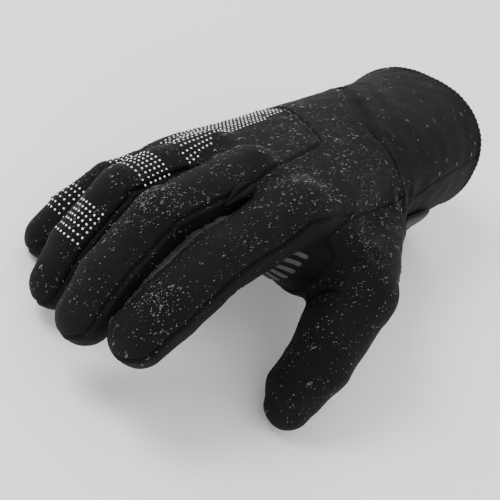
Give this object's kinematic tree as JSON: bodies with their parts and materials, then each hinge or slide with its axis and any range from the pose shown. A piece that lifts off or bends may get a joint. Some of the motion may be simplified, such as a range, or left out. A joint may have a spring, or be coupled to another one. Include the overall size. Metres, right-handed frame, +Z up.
{
  "type": "insulated work glove",
  "caption": "Insulated right-hand glove with a softshell back, smooth cuff, wrist strap and jointed finger sleeves that a hand fills and bends.",
  "frame": {"origin": "centre of the glove's bounding box in plan, on the surface that the glove stands on", "axes": "+X from fingertips to cuff, the glove's long direction; +Y towards the little finger; +Z up, out of the back of the hand"},
  "size_m": [0.2707, 0.1513, 0.0873],
  "materials": {
    "lining": "brushed knit fleece",
    "reflective_print": "retroreflective print",
    "silicone_print": "semi-gloss silicone print",
    "binding": "stretch binding tape",
    "neoprene": "smooth knit-faced neoprene",
    "loop_tape": "loop pile tape",
    "hook_tape": "moulded hook tape",
    "rubber_pull": "matt moulded rubber",
    "webbing": "woven nylon webbing",
    "palm_fabric": "smooth stretch grip fabric",
    "softshell": "matt twill softshell"
  },
  "bodies": {
    "hand": {"cuff_back_panel": "neoprene", "cuff_gusset": "neoprene", "cuff_hem": "binding", "cuff_lining": "lining", "hand_back_index_panel": "softshell", "hand_back_outer_panel": "softshell", "hand_lining": "lining", "hand_palm_panel": "palm_fabric", "palm_grip_bars": "silicone_print", "strap_anchor": "webbing", "strap_loop_patch": "loop_tape", "thumb_base_back": "softshell", "thumb_base_palm": "palm_fabric"},
    "index_near": {"index_near_back": "softshell", "index_near_lining": "lining", "index_near_palm": "palm_fabric", "index_near_sides": "palm_fabric"},
    "index_far": {"index_far_back": "softshell", "index_far_lining": "lining", "index_far_palm": "palm_fabric", "index_far_sides": "palm_fabric"},
    "middle_near": {"middle_near_back": "softshell", "middle_near_lining": "lining", "middle_near_palm": "palm_fabric", "middle_near_sides": "palm_fabric"},
    "middle_far": {"middle_far_back": "softshell", "middle_far_lining": "lining", "middle_far_palm": "palm_fabric", "middle_far_sides": "palm_fabric"},
    "ring_near": {"ring_near_back": "softshell", "ring_near_dots": "reflective_print", "ring_near_lining": "lining", "ring_near_palm": "palm_fabric", "ring_near_sides": "palm_fabric"},
    "ring_far": {"ring_far_back": "softshell", "ring_far_dots": "reflective_print", "ring_far_lining": "lining", "ring_far_palm": "palm_fabric", "ring_far_sides": "palm_fabric"},
    "little_near": {"little_near_back": "softshell", "little_near_dots": "reflective_print", "little_near_lining": "lining", "little_near_palm": "palm_fabric", "little_near_sides": "palm_fabric"},
    "little_far": {"little_far_back": "softshell", "little_far_dots": "reflective_print", "little_far_lining": "lining", "little_far_palm": "palm_fabric", "little_far_sides": "palm_fabric"},
    "thumb_near": {"thumb_near_back": "softshell", "thumb_near_lining": "lining", "thumb_near_palm": "palm_fabric", "thumb_near_sides": "palm_fabric"},
    "thumb_far": {"thumb_far_back": "softshell", "thumb_far_lining": "lining", "thumb_far_palm": "palm_fabric", "thumb_far_sides": "palm_fabric"},
    "strap_tab": {"strap_tab": "webbing", "strap_hook_patch": "hook_tape", "strap_pull": "rubber_pull"}
  },
  "joints": [
    {"name": "index_base_bend", "type": "hinge", "parent": "hand", "child": "index_near", "pos_m": [-0.06441, -0.01652, 0.07008], "axis": [0.0827, -0.9547, 0.2859], "range_deg": [-18, 38]},
    {"name": "index_middle_bend", "type": "hinge", "parent": "index_near", "child": "index_far", "pos_m": [-0.08488, -0.0194, 0.06639], "axis": [0.0827, -0.9547, 0.2859], "range_deg": [-18, 38]},
    {"name": "middle_base_bend", "type": "hinge", "parent": "hand", "child": "middle_near", "pos_m": [-0.0696, 0.00876, 0.06664], "axis": [0.0655, -0.9551, 0.2888], "range_deg": [-18, 38]},
    {"name": "middle_middle_bend", "type": "hinge", "parent": "middle_near", "child": "middle_far", "pos_m": [-0.09331, 0.0063, 0.0639], "axis": [0.0655, -0.9551, 0.2888], "range_deg": [-18, 38]},
    {"name": "ring_base_bend", "type": "hinge", "parent": "hand", "child": "ring_near", "pos_m": [-0.06589, 0.03294, 0.05443], "axis": [-0.012, -0.9535, 0.3012], "range_deg": [-18, 38]},
    {"name": "ring_middle_bend", "type": "hinge", "parent": "ring_near", "child": "ring_far", "pos_m": [-0.08643, 0.03186, 0.05018], "axis": [-0.012, -0.9535, 0.3012], "range_deg": [-18, 38]},
    {"name": "little_base_bend", "type": "hinge", "parent": "hand", "child": "little_near", "pos_m": [-0.05357, 0.05421, 0.04036], "axis": [-0.0637, -0.9491, 0.3084], "range_deg": [-18, 38]},
    {"name": "little_middle_bend", "type": "hinge", "parent": "little_near", "child": "little_far", "pos_m": [-0.06892, 0.05377, 0.03587], "axis": [-0.0637, -0.9491, 0.3084], "range_deg": [-18, 38]},
    {"name": "thumb_base_bend", "type": "hinge", "parent": "hand", "child": "thumb_near", "pos_m": [-0.00617, -0.04126, 0.04679], "axis": [0.5568, -0.8288, -0.0551], "range_deg": [-18, 12]},
    {"name": "thumb_middle_bend", "type": "hinge", "parent": "thumb_near", "child": "thumb_far", "pos_m": [-0.02981, -0.05584, 0.02717], "axis": [0.5568, -0.8288, -0.0551], "range_deg": [-10, 35]},
    {"name": "strap_peel", "type": "hinge", "parent": "hand", "child": "strap_tab", "pos_m": [0.06902, -0.01237, 0.03261], "axis": [-0.9863, -0.1013, 0.1303], "range_deg": [0, 95]}
  ]
}
